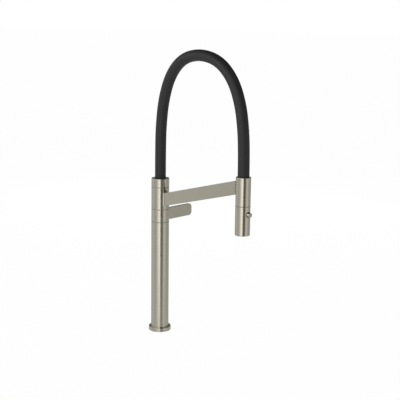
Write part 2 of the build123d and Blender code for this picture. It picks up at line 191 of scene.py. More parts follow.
def turned(outline: np.ndarray, loop: bool, turns: int = 144) -> Skin:
    """A surface of revolution about Z.

    Point (i, k) is (r_i cos a_k, r_i sin a_k, z_i), with a_k going once round. An outline that isn't a
    loop is closed by a flat cap at each end.

    Args:
        outline: Rows of (radius, height) in millimetres.
        loop: Whether the outline is a closed ring, as it is for a tube.
        turns: How many points each ring has.

    Returns:
        The skin, in metres, standing on the Z axis.
    """
    angle = np.linspace(0.0, 2 * np.pi, turns, endpoint=False)
    radius = outline[:, 0][:, None]
    points = np.stack(
        [radius * np.cos(angle), radius * np.sin(angle), np.repeat(outline[:, 1:2], turns, axis=1)],
        axis=-1,
    )
    quads = grid_quads(len(outline), turns, loop)
    return Skin(points.reshape(-1, 3) * MM, quads, () if loop else end_caps(len(outline), turns))


def turned_ring(corners: tuple[Corner, ...], turns: int = 144, steps: int = 5) -> Skin:
    """A ring or tube turned about Z from the closed, eased outline of its section."""
    return turned(eased_outline(corners, closed=True, steps=steps), loop=True, turns=turns)


def plain_tube(radius: float, bore: float, low: float, high: float) -> Skin:
    """An upright tube between two heights, with its edges eased.

    Args:
        radius: The outside radius.
        bore: The inside radius.
        low: The height of its lower end.
        high: The height of its upper end.

    Returns:
        The skin.
    """
    corners = (
        Corner(bore, low, INNER_EASE),
        Corner(radius, low, SEAM_EASE),
        Corner(radius, high, SEAM_EASE),
        Corner(bore, high, INNER_EASE),
    )
    return turned_ring(corners)


def travelled(line: np.ndarray) -> np.ndarray:
    """How far each point of a line is from its start, along the line."""
    spans = np.linalg.norm(np.diff(line, axis=0), axis=1)
    return np.concatenate([[0.0], np.cumsum(spans)])


def points_along(line: np.ndarray, places: np.ndarray) -> np.ndarray:
    """The points of a line at given distances from its start."""
    known = travelled(line)
    return np.stack([np.interp(places, known, line[:, axis]) for axis in range(3)], axis=-1)


def moved(skin: Skin, x: float = 0.0, y: float = 0.0, z: float = 0.0) -> Skin:
    """A skin carried to another place, given in millimetres."""
    return Skin(skin.points + np.array([x, y, z]) * MM, skin.quads, skin.caps)


def laid_forward(skin: Skin) -> Skin:
    """A skin turned so that its Z axis points along -Y: (x, y, z) becomes (x, -z, y)."""
    x, y, z = skin.points.T
    return Skin(np.stack([x, -z, y], axis=-1), skin.quads, skin.caps)


def signed_volume(skin: Skin) -> float:
    """The volume that the faces close in, negative where they point inwards.

    It is a sixth of the sum, over fans of triangles, of a . (b x c).

    Args:
        skin: A closed skin.

    Returns:
        The volume in cubic metres.
    """
    total = 0.0
    corners = skin.points[skin.quads]
    for first, second in ((1, 2), (2, 3)):
        cross = np.cross(corners[:, first], corners[:, second])
        total += float(np.einsum("ij,ij->", corners[:, 0], cross))
    for cap in skin.caps:
        rim = skin.points[list(cap)]
        cross = np.cross(rim[1:-1], rim[2:])
        total += float((cross @ rim[0]).sum())
    return total / 6.0


def outward(skin: Skin) -> Skin:
    """The same skin with its faces turned to point outwards.

    Args:
        skin: A closed skin.

    Returns:
        The skin, turned over if it was inside out.
    """
    if signed_volume(skin) >= 0.0:
        return skin
    return Skin(skin.points, skin.quads[:, ::-1], tuple(cap[::-1] for cap in skin.caps))


def put_in_scene(name: str, data: bpy.types.ID) -> bpy.types.Object:
    """A new object at the origin that holds some data, linked to the scene.

    Args:
        name: The object's name.
        data: Its mesh, curve, camera or light.

    Returns:
        The new object.
    """
    thing = bpy.data.objects.new(name, data)
    bpy.context.scene.collection.objects.link(thing)
    return thing


def mesh_object(name: str, points: np.ndarray, faces: list[list[int]]) -> bpy.types.Object:
    """A new object in the scene with a mesh of points, in metres, and their faces.

    Args:
        name: The object's name.
        points: Its points.
        faces: The point numbers of each face.

    Returns:
        The new object.
    """
    mesh = bpy.data.meshes.new(name)
    mesh.from_pydata(points.reshape(-1, 3).tolist(), [], faces)
    return put_in_scene(name, mesh)


def make_piece(name: str, skin: Skin) -> bpy.types.Object:
    """An object that holds a skin's mesh, smoothly shaded.

    Args:
        name: The piece's name.
        skin: Its surface, closed and in metres.

    Returns:
        The new object.
    """
    skin = outward(skin)
    piece = mesh_object(name, skin.points, skin.quads.tolist() + [list(cap) for cap in skin.caps])
    mesh = piece.data
    mesh.polygons.foreach_set("use_smooth", np.ones(len(mesh.polygons), dtype=bool))
    mesh.update()
    return piece


# ---------------------------------------------------------------------------------------------
# Finishes
# ---------------------------------------------------------------------------------------------


@dataclass(frozen=True)
class Colour:
    """A colour as shares of light, red, green and blue."""

    red: float
    green: float
    blue: float

    def rgba(self) -> tuple[float, float, float, float]:
        """The colour as a socket takes it."""
        return (self.red, self.green, self.blue, 1.0)

    def scaled(self, shares: Triple) -> "Colour":
        """The colour with its red, green and blue brightened or darkened by a factor each."""
        return Colour(self.red * shares[0], self.green * shares[1], self.blue * shares[2])


PLAIN_WHITE = Colour(1.0, 1.0, 1.0)


class Bench:
    """A node tree, with short ways to add nodes and join them."""

    def __init__(self, tree: bpy.types.NodeTree) -> None:
        """Clears the tree."""
        self.tree = tree
        self.tree.nodes.clear()

    def add(self, kind: str, **inputs: object) -> bpy.types.Node:
        """A new node, with its sockets set by name; an underscore stands for a space.

        Args:
            kind: The node's type.
            inputs: The value of each socket that is set.

        Returns:
            The node.
        """
        node = self.tree.nodes.new(kind)
        for socket, value in inputs.items():
            node.inputs[socket.replace("_", " ")].default_value = value
        return node

    def join(self, source: bpy.types.Node, output: str, target: bpy.types.Node, socket: str) -> None:
        """Joins one node's output to another's input."""
        self.tree.links.new(source.outputs[output], target.inputs[socket])

    def eased(
        self,
        source: bpy.types.Node,
        output: str,
        span: tuple[float, float],
        to: tuple[float, float],
    ) -> bpy.types.Node:
        """A smooth step of a value from one span to another, whose output is "Result".

        Args:
            source: The node that gives the value.
            output: Which of its outputs does.
            span: The values at the start and the end of the step.
            to: The results there.

        Returns:
            The node.
        """
        node = self.add("ShaderNodeMapRange")
        node.interpolation_type = "SMOOTHSTEP"
        for socket, value in zip(("From Min", "From Max", "To Min", "To Max"), (*span, *to)):
            node.inputs[socket].default_value = value
        self.join(source, output, node, "Value")
        return node

    def shared(
        self,
        share: bpy.types.Node,
        low: bpy.types.Node | float,
        high: bpy.types.Node | float,
    ) -> bpy.types.Node:
        """A mix of two levels, each a number or a node's "Result", by the share's "Result".

        Args:
            share: The node that gives the share of the high level.
            low: The level at a share of 0.
            high: The level at a share of 1.

        Returns:
            The node.
        """
        node = self.add("ShaderNodeMix")
        self.join(share, "Result", node, "Factor")
        for socket, value in (("A", low), ("B", high)):
            if isinstance(value, float):
                node.inputs[socket].default_value = value
            else:
                self.join(value, "Result", node, socket)
        return node


class Recipe(Bench):
    """A material's node tree, with one Principled shader."""

    def __init__(self, name: str) -> None:
        """Starts the material.

        Args:
            name: The material's name.
        """
        self.material = bpy.data.materials.new(name)
        self.material.use_nodes = True
        super().__init__(self.material.node_tree)
        self.shader = self.add("ShaderNodeBsdfPrincipled")
        surface = self.add("ShaderNodeOutputMaterial")
        self.join(self.shader, "BSDF", surface, "Surface")

    def place(self, size: Triple, centre: Triple = (0.0, 0.0, 0.0), slope: float = 0.0) -> bpy.types.Node:
        """Object coordinates moved to a centre, turned about X, and measured in steps of a given size.

        Args:
            size: The length of one step of the pattern along each of its own axes, in metres.
            centre: Where the pattern is centred, in metres.
            slope: How far the pattern is turned about X, in radians.

        Returns:
            The mapping node, whose output is "Vector".
        """
        source = self.add("ShaderNodeTexCoord")
        mapping = self.add("ShaderNodeMapping", Location=centre, Rotation=(slope, 0.0, 0.0), Scale=size)
        mapping.vector_type = "TEXTURE"
        self.join(source, "Object", mapping, "Vector")
        return mapping

    def even(self, centre: Triple = (0.0, 0.0, 0.0)) -> bpy.types.Node:
        """Object coordinates in metres from a centre, whose output is "Vector"."""
        return self.place((1.0, 1.0, 1.0), centre)

    def noise(self, mapping: bpy.types.Node, scale: float, detail: float) -> bpy.types.Node:
        """A noise texture on a mapping, whose output is "Fac".

        Args:
            mapping: The coordinates it is laid on.
            scale: How many lumps it has in one step.
            detail: How many finer layers it has.

        Returns:
            The node.
        """
        texture = self.add("ShaderNodeTexNoise", Scale=scale, Detail=detail)
        self.join(mapping, "Vector", texture, "Vector")
        return texture

    def mixed(self, first: bpy.types.Node, second: bpy.types.Node, share: float) -> bpy.types.Node:
        """Two textures mixed, with that share of the second; its output is "Result".

        Args:
            first: The first texture.
            second: The second texture.
            share: How much of the second is in the mix.

        Returns:
            The node.
        """
        node = self.add("ShaderNodeMix", Factor=share)
        self.join(first, "Fac", node, "A")
        self.join(second, "Fac", node, "B")
        return node

    def tint(self, source: bpy.types.Node, dark: Colour, light: Colour, output: str = "Fac") -> None:
        """The base colour, from dark to light as a texture's values go up.

        Args:
            source: The texture.
            dark: The colour at its low values.
            light: The colour at its high values.
            output: The texture's output.
        """
        ramp = self.add("ShaderNodeValToRGB")
        ramp.color_ramp.elements[0].position = TEXTURE_LOW
        ramp.color_ramp.elements[0].color = dark.rgba()
        ramp.color_ramp.elements[1].position = TEXTURE_HIGH
        ramp.color_ramp.elements[1].color = light.rgba()
        self.join(source, output, ramp, "Fac")
        self.join(ramp, "Color", self.shader, "Base Color")

    def roughen(self, source: bpy.types.Node, low: float, high: float, output: str = "Fac") -> None:
        """The roughness, from low to high as a texture's values go up.

        Args:
            source: The texture.
            low: The roughness at its low values.
            high: The roughness at its high values.
            output: The texture's output.
        """
        ranged = self.add("ShaderNodeMapRange", From_Min=TEXTURE_LOW, From_Max=TEXTURE_HIGH)
        ranged.inputs["To Min"].default_value = low
        ranged.inputs["To Max"].default_value = high
        self.join(source, output, ranged, "Value")
        self.join(ranged, "Result", self.shader, "Roughness")

    def emboss(self, source: bpy.types.Node, strength: float, depth: float) -> None:
        """A bump from a texture's values, that deep in metres.

        Args:
            source: The texture.
            strength: The share of the bump that shows.
            depth: How deep it is, in metres.
        """
        bump = self.add("ShaderNodeBump", Strength=strength, Distance=depth)
        self.join(source, "Fac", bump, "Height")
        self.join(bump, "Normal", self.shader, "Normal")


@dataclass(frozen=True)
class BrushedNickel:
    """Warm grey nickel plate, brushed with a fine belt and clear of lacquer."""

    grain: Grain
    centre: Triple = (0.0, 0.0, 0.0)
    colour: Colour = Colour(0.596, 0.565, 0.470)
    darker: Triple = (0.955, 0.952, 0.945)
    lighter: Triple = (1.045, 1.045, 1.045)
    smooth: float = 0.20
    rough: float = 0.27
    streak_long: float = 0.030
    streak_wide: float = 0.00035
    face_streaks: float = 8.0
    cloud_scale: float = 38.0
    cloud_share: float = 0.35
    touch_scale: float = 160.0
    touch_share: float = 0.4
    bump: float = 0.18
    bump_depth: float = 0.00002

    def streak_size(self) -> Triple:
        """The size of one brush mark along X, Y and Z; it is thicker through a flat bar or plate."""
        long, wide = self.streak_long, self.streak_wide
        thick = wide * self.face_streaks
        sizes = {
            Grain.ROUND_UPRIGHT: (long, long, wide),
            Grain.ROUND_FORWARD: (long, wide, long),
            Grain.ALONG_ARM: (thick, long, wide),
            Grain.ALONG_PADDLE: (long, thick, wide),
        }
        return sizes[self.grain]

    def build(self) -> bpy.types.Material:
        """The finish's material: brush marks, broad clouding, and faint marks from handling."""
        recipe = Recipe("brushed nickel, " + self.grain.value)
        slope = -ARM_SLOPE if self.grain is Grain.ALONG_ARM else 0.0
        marks = recipe.place(self.streak_size(), self.centre, slope)
        even = recipe.even(self.centre)
        streaks = recipe.noise(marks, 1.0, 3.0)
        clouds = recipe.noise(even, self.cloud_scale, 2.0)
        touched = recipe.noise(even, self.touch_scale, 4.0)
        dark, light = self.colour.scaled(self.darker), self.colour.scaled(self.lighter)
        recipe.tint(recipe.mixed(streaks, clouds, self.cloud_share), dark, light, "Result")
        worn = recipe.mixed(streaks, touched, self.touch_share)
        recipe.roughen(worn, self.smooth, self.rough, "Result")
        recipe.emboss(streaks, self.bump, self.bump_depth)
        recipe.shader.inputs["Metallic"].default_value = 1.0
        return recipe.material


@dataclass(frozen=True)
class MatteRubber:
    """Smooth black extruded rubber with a fine, even bloom."""

    name: str = "matte black rubber"
    colour: Colour = Colour(0.0215, 0.0215, 0.0225)
    darker: Triple = (0.90, 0.90, 0.90)
    lighter: Triple = (1.12, 1.12, 1.13)
    smooth: float = 0.48
    rough: float = 0.60
    pore_scale: float = 2600.0
    pore_strength: float = 0.12
    pore_depth: float = 0.00004
    bloom_scale: float = 24.0
    shine: float = 0.45

    def build(self) -> bpy.types.Material:
        """The finish's material: fine pores, and bloom that comes and goes along the hose."""
        recipe = Recipe(self.name)
        even = recipe.even()
        pores = recipe.noise(even, self.pore_scale, 3.0)
        bloom = recipe.noise(even, self.bloom_scale, 3.0)
        recipe.tint(bloom, self.colour.scaled(self.darker), self.colour.scaled(self.lighter))
        recipe.roughen(bloom, self.smooth, self.rough)
        recipe.emboss(pores, self.pore_strength, self.pore_depth)
        recipe.shader.inputs["Specular IOR Level"].default_value = self.shine
        return recipe.material


@dataclass(frozen=True)
class MouldedPart:
    """A moulded or pressed part: plastic, silicone, rubber or ceramic, with a fine skin."""

    name: str
    colour: Colour
    smooth: float = 0.35
    rough: float = 0.50
    darker: Triple = (0.93, 0.93, 0.93)
    lighter: Triple = (1.07, 1.07, 1.07)
    flow_scale: float = 70.0
    skin_scale: float = 900.0
    skin_strength: float = 0.2
    skin_depth: float = 0.00003

    def build(self) -> bpy.types.Material:
        """The finish's material: an even colour with slight flow marks, and a fine textured skin."""
        recipe = Recipe(self.name)
        even = recipe.even()
        skin = recipe.noise(even, self.skin_scale, 3.0)
        flow = recipe.noise(even, self.flow_scale, 2.0)
        recipe.tint(flow, self.colour.scaled(self.darker), self.colour.scaled(self.lighter))
        recipe.roughen(skin, self.smooth, self.rough)
        recipe.emboss(skin, self.skin_strength, self.skin_depth)
        return recipe.material


@dataclass(frozen=True)
class MachinedMetal:
    """Turned or drawn metal that stays inside: brass, copper, steel or the magnet's plating."""

    name: str
    colour: Colour
    smooth: float = 0.22
    rough: float = 0.38
    darker: Triple = (0.86, 0.84, 0.80)
    stain_scale: float = 90.0
    ring_size: Triple = (0.05, 0.05, 0.0004)
    cut_strength: float = 0.15
    cut_depth: float = 0.00003

    def build(self) -> bpy.types.Material:
        """The finish's material: fine rings from the tool, over a slightly stained surface."""
        recipe = Recipe(self.name)
        cut = recipe.noise(recipe.place(self.ring_size), 1.0, 2.0)
        stain = recipe.noise(recipe.even(), self.stain_scale, 4.0)
        recipe.tint(stain, self.colour.scaled(self.darker), self.colour)
        recipe.roughen(cut, self.smooth, self.rough)
        recipe.emboss(cut, self.cut_strength, self.cut_depth)
        recipe.shader.inputs["Metallic"].default_value = 1.0
        return recipe.material


@dataclass(frozen=True)
class Look:
    """A built material, and the record's material slot that it belongs to."""

    material: bpy.types.Material
    slot: str


class Finishes:
    """Every finish on the faucet, built once and handed out by name."""

    def __init__(self) -> None:
        """Builds the materials."""
        wand_axis = (0.0, -REACH * MM, 0.0)
        upright = Grain.ROUND_UPRIGHT
        self.column = Look(BrushedNickel(upright).build(), NICKEL)
        self.foot = Look(BrushedNickel(upright, smooth=0.10, rough=0.15).build(), NICKEL)
        self.wand = Look(BrushedNickel(upright, centre=wand_axis).build(), NICKEL)
        button = BrushedNickel(Grain.ROUND_FORWARD, centre=wand_axis, smooth=0.16)
        self.button = Look(button.build(), NICKEL)
        self.arm = Look(BrushedNickel(Grain.ALONG_ARM).build(), NICKEL)
        self.paddle = Look(BrushedNickel(Grain.ALONG_PADDLE).build(), NICKEL)
        self.rubber = Look(MatteRubber().build(), "hose_rubber")
        slots = {
            "black_plastic": MouldedPart("black acetal", Colour(0.018, 0.018, 0.019)),
            "brass": MachinedMetal("machined brass", Colour(0.72, 0.53, 0.27)),
            "copper_tube": MachinedMetal("drawn copper", Colour(0.78, 0.42, 0.29)),
            "steel": MachinedMetal("spring steel", Colour(0.55, 0.55, 0.54)),
            "magnet": MachinedMetal("plated magnet", Colour(0.62, 0.62, 0.60), 0.12, 0.22),
            "ceramic": MouldedPart("sintered ceramic", Colour(0.80, 0.79, 0.76), 0.12, 0.22),
            "seal_rubber": MouldedPart("seal rubber", Colour(0.022, 0.022, 0.022), 0.5, 0.65),
            "white_plastic": MouldedPart("white acetal", Colour(0.74, 0.74, 0.71)),
            "inner_hose": MouldedPart("grey inner hose", Colour(0.36, 0.37, 0.38), 0.3, 0.45),
            "nozzle_silicone": MouldedPart("grey silicone", Colour(0.085, 0.087, 0.090), 0.5, 0.65),
        }
        self.slots = {slot: Look(finish.build(), slot) for slot, finish in slots.items()}


# ---------------------------------------------------------------------------------------------
# Putting pieces on bodies
# ---------------------------------------------------------------------------------------------


def dress(piece: bpy.types.Object, material: bpy.types.Material) -> None:
    """Gives a piece one material."""
    piece.data.materials.clear()
    piece.data.materials.append(material)


def fit(name: str, skin: Skin, look: Look, body: Body, node: str) -> bpy.types.Object:
    """Makes a piece, dresses it, and puts it on its body in place of the part's own node.

    Args:
        name: The piece's name.
        skin: Its surface.
        look: Its finish.
        body: The body that it rides on.
        node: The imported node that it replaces.

    Returns:
        The new object.
    """
    piece = make_piece(name, skin)
    dress(piece, look.material)
    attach(piece, body.value)
    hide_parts(node)
    log.info("%s: %d points on %s", name, len(skin.points), body.value)
    return piece


# ---------------------------------------------------------------------------------------------
# The studio
# ---------------------------------------------------------------------------------------------


@dataclass(frozen=True)
class StudioCamera:
    """The camera: where it stands round the faucet, how it is turned, and its lens."""

    focal: float = 81.82
    azimuth: float = -43.23
    distance: float = 1.9018
    height: float = 0.67489
    yaw: float = 2.55
    pitch: float = 11.48
    roll: float = 0.75
    film: float = 36.0
    nearest: float = 0.05
    farthest: float = 50.0

    def build(self) -> bpy.types.Object:
        """Makes the camera and gives it to the scene.

        It stands on a circle round the column's axis, looks at the axis, and is then turned to the
        right by yaw, down by pitch, and about its own line of sight by roll.
        """
        around, yaw = math.radians(self.azimuth), math.radians(self.yaw)
        pitch, roll = math.radians(self.pitch), math.radians(self.roll)
        up = Vector((0.0, 0.0, 1.0))
        ahead = Vector((-math.sin(around), math.cos(around), 0.0))
        right = Vector((math.cos(around), math.sin(around), 0.0))
        level = ahead * math.cos(yaw) + right * math.sin(yaw)
        side = right * math.cos(yaw) - ahead * math.sin(yaw)
        sight = level * math.cos(pitch) - up * math.sin(pitch)
        top = level * math.sin(pitch) + up * math.cos(pitch)
        across = side * math.cos(roll) + top * math.sin(roll)
        over = top * math.cos(roll) - side * math.sin(roll)
        place = -ahead * self.distance + up * self.height
        turn = Matrix((across, over, -sight)).transposed().to_4x4()
        data = bpy.data.cameras.new("studio camera")
        data.sensor_width = self.film
        data.lens = self.focal
        data.clip_start, data.clip_end = self.nearest, self.farthest
        camera = put_in_scene("studio camera", data)
        camera.matrix_world = Matrix.Translation(place) @ turn
        bpy.context.scene.camera = camera
        return camera


@dataclass(frozen=True)
class LightLevel:
    """How bright the studio is in one direction round the faucet, from the camera's to its right."""

    angle: float
    level: float


@dataclass(frozen=True)
class Studio:
    """A plain white studio: a round light tent, dim walls above it, a soft key light and a pale floor."""

    facing: float = -43.23
    panels: tuple[LightLevel, ...] = (
        LightLevel(-180.0, 1.15),
        LightLevel(-166.0, 0.95),
        LightLevel(-158.0, 0.25),
        LightLevel(-151.0, 0.25),
        LightLevel(-142.0, 0.55),
        LightLevel(-125.0, 0.54),
        LightLevel(-103.0, 0.64),
        LightLevel(-82.0, 0.51),
        LightLevel(-63.0, 0.43),
        LightLevel(-42.0, 0.62),
        LightLevel(-23.0, 1.10),
        LightLevel(-6.0, 1.68),
        LightLevel(0.0, 1.08),
        LightLevel(5.0, 0.07),
        LightLevel(30.0, 0.07),
        LightLevel(40.0, 0.64),
        LightLevel(56.0, 0.76),
        LightLevel(75.0, 0.49),
        LightLevel(110.0, 0.40),
        LightLevel(145.0, 0.48),
        LightLevel(164.0, 0.80),
        LightLevel(180.0, 1.15),
    )
    tent_sides: int = 96
    tent_rows: int = 3
    tent_radius: float = 1.60
    tent_low: float = -1.05
    tent_high: float = 0.36
    front_rise: float = 0.46
    fade: tuple[float, float] = (-1.0, 0.0)
    middle: float = 0.56
    shaded: float = 0.17
    lit: float = 0.95
    ceiling: float = 0.08
    lit_side: float = -60.0
    wall_turn: tuple[float, float] = (-0.3, 0.9)
    wall_top: tuple[float, float] = (0.35, 0.85)
    wall_foot: tuple[float, float] = (-0.20, 0.0)
    floor_half: float = 30.0
    floor_cells: int = 12
    floor_drop: float = 0.0002
    floor_dark: Colour = Colour(0.055, 0.055, 0.055)
    floor_light: Colour = Colour(0.065, 0.065, 0.065)
    floor_glow: float = 0.970
    key_angle: float = -62.0
    key_height: float = 22.0
    key_distance: float = 1.9
    key_size: float = 1.1
    key_power: float = 4.0
    key_aim: Triple = (0.0, -0.1, 0.35)

    def tent_light(self) -> bpy.types.Material:
        """The tent's glow.

        Round the faucet it goes from panel to panel by the angle from the camera's side, and well
        below the deck the panels fade towards the middle level.
        """
        material = bpy.data.materials.new("light tent")
        material.use_nodes = True
        bench = Bench(material.node_tree)
        place = bench.add("ShaderNodeTexCoord")
        to_front = math.radians(90.0 - self.facing)
        turned_round = bench.add("ShaderNodeMapping", Rotation=(0.0, 0.0, to_front))
        bench.join(place, "Object", turned_round, "Vector")
        radial = bench.add("ShaderNodeTexGradient")
        radial.gradient_type = "RADIAL"
        bench.join(turned_round, "Vector", radial, "Vector")
        ramp = bench.add("ShaderNodeValToRGB")
        ramp.color_ramp.interpolation = "EASE"
        brightest = max(panel.level for panel in self.panels)
        stops = ramp.color_ramp.elements
        for panel in self.panels:
            spot = panel.angle / 360.0 + 0.5
            ends = {0.0: stops[0], 1.0: stops[-1]}
            stop = ends[spot] if spot in ends else stops.new(spot)
            shade = panel.level / brightest
            stop.color = Colour(shade, shade, shade).rgba()
        bench.join(radial, "Fac", ramp, "Fac")
        scaled = bench.add("ShaderNodeMapRange")
        scaled.inputs["To Max"].default_value = brightest
        bench.join(ramp, "Color", scaled, "Value")
        parts = bench.add("ShaderNodeSeparateXYZ")
        bench.join(place, "Object", parts, "Vector")
        level = bench.shared(bench.eased(parts, "Z", self.fade, (0.0, 1.0)), self.middle, scaled)
        glow = bench.add("ShaderNodeEmission")
        bench.join(level, "Result", glow, "Strength")
        final = bench.add("ShaderNodeOutputMaterial")
        bench.join(glow, "Emission", final, "Surface")
        return material

    def tent(self) -> bpy.types.Object:
        """The round light tent.

        Point (i, k) is (R cos a_k, R sin a_k, (1 - s_i) low + s_i top_k), where the top edge rises
        towards the front: top_k = high + rise (1 + cos(a_k - front)) / 2. It isn't seen directly and
        casts no shadow, so it can stand between the camera and the faucet.
        """
        angle = np.linspace(0.0, 2 * np.pi, self.tent_sides, endpoint=False)
        share = np.linspace(0.0, 1.0, self.tent_rows)[:, None]
        front = math.radians(self.facing - 90.0)
        top = self.tent_high + self.front_rise * (1 + np.cos(angle - front)) / 2
        points = np.stack(
            [
                self.tent_radius * np.cos(angle) + 0.0 * share,
                self.tent_radius * np.sin(angle) + 0.0 * share,
                (1 - share) * self.tent_low + share * top,
            ],
            axis=-1,
        )
        faces = grid_quads(self.tent_rows, self.tent_sides, False)
        tent = mesh_object("light_tent", points, faces.tolist())
        dress(tent, self.tent_light())
        tent.visible_camera = False
        tent.visible_shadow = False
        return tent

    def walls(self) -> None:
        """The light beyond the tent, as a world.

        Above the deck it comes from walls that are brighter on the lit side, and from a dim ceiling.
        The backdrop that is seen directly is plain white.
        """
        world = bpy.data.worlds.new("studio")
        bpy.context.scene.world = world
        world.use_nodes = True
        bench = Bench(world.node_tree)
        direction = bench.add("ShaderNodeTexCoord")
        parts = bench.add("ShaderNodeSeparateXYZ")
        bench.join(direction, "Generated", parts, "Vector")
        side = math.radians(self.facing + self.lit_side)
        facing = bench.add("ShaderNodeVectorMath")
        facing.operation = "DOT_PRODUCT"
        facing.inputs[1].default_value = (math.sin(side), -math.cos(side), 0.0)
        bench.tree.links.new(direction.outputs["Generated"], facing.inputs[0])
        sides = bench.eased(facing, "Value", self.wall_turn, (self.shaded, self.lit))
        upper = bench.shared(bench.eased(parts, "Z", self.wall_top, (0.0, 1.0)), sides, self.ceiling)
        level = bench.shared(bench.eased(parts, "Z", self.wall_foot, (0.0, 1.0)), self.middle, upper)
        soft = bench.add("ShaderNodeBackground")
        bench.join(level, "Result", soft, "Color")
        plain = bench.add("ShaderNodeBackground", Color=PLAIN_WHITE.rgba())
        seen = bench.add("ShaderNodeLightPath")
        blend = bench.add("ShaderNodeMixShader")
        bench.join(seen, "Is Camera Ray", blend, "Fac")
        bench.tree.links.new(soft.outputs["Background"], blend.inputs[1])
        bench.tree.links.new(plain.outputs["Background"], blend.inputs[2])
        final = bench.add("ShaderNodeOutputWorld")
        bench.join(blend, "Shader", final, "Surface")

    def floor(self) -> bpy.types.Object:
        """A pale floor just under the deck's height, a grid of points in a level plane.

        It glows as brightly as the backdrop, so that it doesn't need the light that would then
        bounce up into the metal.
        """
        cells, side = self.floor_cells, self.floor_cells + 1
        line = np.linspace(-self.floor_half, self.floor_half, side)
        across, along = np.meshgrid(line, line, indexing="ij")
        points = np.stack([across, along, np.full_like(across, -self.floor_drop)], axis=-1)
        faces = grid_quads(side, side, False).reshape(cells, side, 4)[:, :cells, ::-1]
        floor = mesh_object("pale_floor", points, faces.reshape(-1, 4).tolist())
        recipe = Recipe("pale floor")
        recipe.tint(recipe.noise(recipe.even(), 3.0, 2.0), self.floor_dark, self.floor_light)
        recipe.shader.inputs["Roughness"].default_value = 0.9
        recipe.shader.inputs["Specular IOR Level"].default_value = 0.1
        recipe.shader.inputs["Emission Color"].default_value = PLAIN_WHITE.rgba()
        recipe.shader.inputs["Emission Strength"].default_value = self.floor_glow
        dress(floor, recipe.material)
        floor.visible_glossy = False
        floor.visible_diffuse = False
        floor.visible_shadow = False
        return floor

    def key_light(self) -> bpy.types.Object:
        """One large soft light, up to the left of the camera, that looks at the middle of the faucet."""
        around = math.radians(self.facing + self.key_angle)
        rise = math.radians(self.key_height)
        level = Vector((math.sin(around), -math.cos(around), 0.0))
        away = level * math.cos(rise) + Vector((0.0, 0.0, math.sin(rise)))
        data = bpy.data.lights.new("soft key light", "AREA")
        data.shape = "DISK"
        data.size = self.key_size
        data.energy = self.key_power
        light = put_in_scene("soft key light", data)
        light.location = Vector(self.key_aim) + away * self.key_distance
        light.rotation_mode = "QUATERNION"
        light.rotation_quaternion = away.to_track_quat("Z", "Y")
        return light

    def build(self) -> None:
        """Lights the studio and lays its floor."""
        bpy.context.scene.view_settings.view_transform = "Standard"
        self.walls()
        self.tent()
        self.key_light()
        self.floor()


# ---------------------------------------------------------------------------------------------
# The hose arch
# ---------------------------------------------------------------------------------------------


